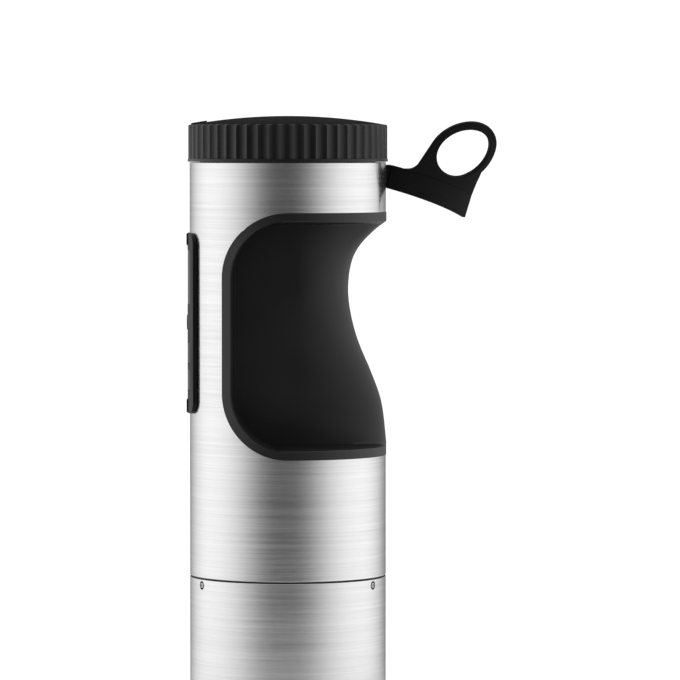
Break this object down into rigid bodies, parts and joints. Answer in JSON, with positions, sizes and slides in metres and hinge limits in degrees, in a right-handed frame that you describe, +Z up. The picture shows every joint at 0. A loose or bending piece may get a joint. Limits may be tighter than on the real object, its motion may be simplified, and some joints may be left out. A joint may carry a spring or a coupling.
{
  "type": "sous vide circulator",
  "caption": "Stick immersion circulator: brushed steel tube, fluted dial cap, recessed black hand grip, side control panel, pull-ring port cover and pot clamp.",
  "frame": {"origin": "on the tube's axis, at the underside of the base", "axes": "+Z up along the tube's axis; +X towards the palm side of the hand grip and the pot clamp, -X towards the control panel"},
  "size_m": [0.162, 0.108, 0.38],
  "materials": {
    "brushed_steel": "stainless, finely brushed round the tube",
    "plain_steel": "plain drawn or turned stainless steel",
    "brass": "turned bearing bronze",
    "cap_plastic": "black moulded plastic, fine satin texture",
    "dial_plastic": "black moulded plastic, satin",
    "grip_plastic": "black moulded plastic with a soft matt texture",
    "base_plastic": "black glass-filled plastic",
    "grey_plastic": "dark grey moulded plastic",
    "key_plastic": "black keys, slightly lighter than the panel",
    "rubber": "black rubber",
    "cover_rubber": "flexible black rubber, matt",
    "board": "green circuit board",
    "display_glass": "dark glossy window"
  },
  "bodies": {
    "housing": {"steel_housing": "brushed_steel", "lower_skirt": "brushed_steel", "seam_gasket": "rubber", "top_dome": "cap_plastic", "top_deck": "grey_plastic", "dial_seal": "rubber", "dial_sensor_board": "board", "power_switch": "grey_plastic", "grip_shell": "grip_plastic", "panel_bezel": "cap_plastic", "display_glass": "display_glass", "display_module": "grey_plastic", "display_board": "board", "cover_anchor": "rubber", "port_socket": "cap_plastic", "bulkhead": "grey_plastic", "upper_oring": "rubber", "lower_oring": "rubber", "skirt_screw_1": "plain_steel", "skirt_screw_2": "plain_steel", "skirt_screw_3": "plain_steel", "pump_motor": "plain_steel", "upper_bearing": "brass", "pump_column": "plain_steel", "lower_bearing": "brass", "pump_housing": "cap_plastic", "heater_coil": "plain_steel", "temperature_probe": "plain_steel", "level_rod_high": "plain_steel", "level_rod_low": "plain_steel", "main_board": "board", "board_frame": "grey_plastic", "power_board": "board", "relay": "cap_plastic", "wire_loom": "rubber", "power_inlet": "cap_plastic"},
    "dial": {"dial_ring": "dial_plastic"},
    "power_button": {"power_key": "dial_plastic"},
    "start": {"start_button": "key_plastic"},
    "key_1": {"mode_key_1": "key_plastic"},
    "key_2": {"mode_key_2": "key_plastic"},
    "key_3": {"mode_key_3": "key_plastic"},
    "key_4": {"mode_key_4": "key_plastic"},
    "cover": {"port_cover": "cover_rubber"},
    "rotor": {"pump_shaft": "plain_steel", "impeller": "cap_plastic"},
    "base": {"base_cap": "base_plastic"},
    "clamp": {"clamp_collar": "base_plastic"},
    "pad": {"pressure_pad": "rubber"},
    "screw": {"clamp_screw": "plain_steel", "clamp_knob": "dial_plastic"}
  },
  "joints": [
    {"name": "dial_turn", "type": "hinge", "parent": "housing", "child": "dial", "pos_m": [0, 0, 0.366], "axis": [0, 0, 1], "continuous": true},
    {"name": "power_press", "type": "slide", "parent": "housing", "child": "power_button", "axis": [0, 0, -1], "range_m": [0, 0.0006], "stiffness_N_per_m": 500, "springref_m": -0.0005},
    {"name": "start_press", "type": "slide", "parent": "housing", "child": "start", "axis": [1, 0, 0], "range_m": [0, 0.0008], "stiffness_N_per_m": 500, "springref_m": -0.0005},
    {"name": "key_1_press", "type": "slide", "parent": "housing", "child": "key_1", "axis": [1, 0, 0], "range_m": [0, 0.0004], "stiffness_N_per_m": 500, "springref_m": -0.0005},
    {"name": "key_2_press", "type": "slide", "parent": "housing", "child": "key_2", "axis": [1, 0, 0], "range_m": [0, 0.0004], "stiffness_N_per_m": 500, "springref_m": -0.0005},
    {"name": "key_3_press", "type": "slide", "parent": "housing", "child": "key_3", "axis": [1, 0, 0], "range_m": [0, 0.0004], "stiffness_N_per_m": 500, "springref_m": -0.0005},
    {"name": "key_4_press", "type": "slide", "parent": "housing", "child": "key_4", "axis": [1, 0, 0], "range_m": [0, 0.0004], "stiffness_N_per_m": 500, "springref_m": -0.0005},
    {"name": "cover_swing", "type": "hinge", "parent": "housing", "child": "cover", "pos_m": [0.05126, 0.00812, 0.3492], "axis": [0.1852, -0.0493, 0.9815], "range_deg": [0, 99]},
    {"name": "impeller_spin", "type": "hinge", "parent": "housing", "child": "rotor", "pos_m": [0, 0, 0.04], "axis": [0, 0, 1], "continuous": true},
    {"name": "base_twist", "type": "hinge", "parent": "housing", "child": "base", "pos_m": [0, 0, 0], "axis": [0, 0, 1], "range_deg": [0, 25]},
    {"name": "clamp_height", "type": "slide", "parent": "housing", "child": "clamp", "axis": [0, 0, 1], "range_m": [0, 0.058]},
    {"name": "pad_slide", "type": "slide", "parent": "clamp", "child": "pad", "axis": [-1, 0, 0], "range_m": [0, 0.008]},
    {"name": "screw_turn", "type": "hinge", "parent": "pad", "child": "screw", "pos_m": [0.08, 0, 0.037], "axis": [-1, 0, 0], "range_deg": [0, 1441]}
  ],
  "couplings": [
    {"joint": "screw_turn", "follows": "pad_slide", "rad_per_m": 3141.6}
  ]
}
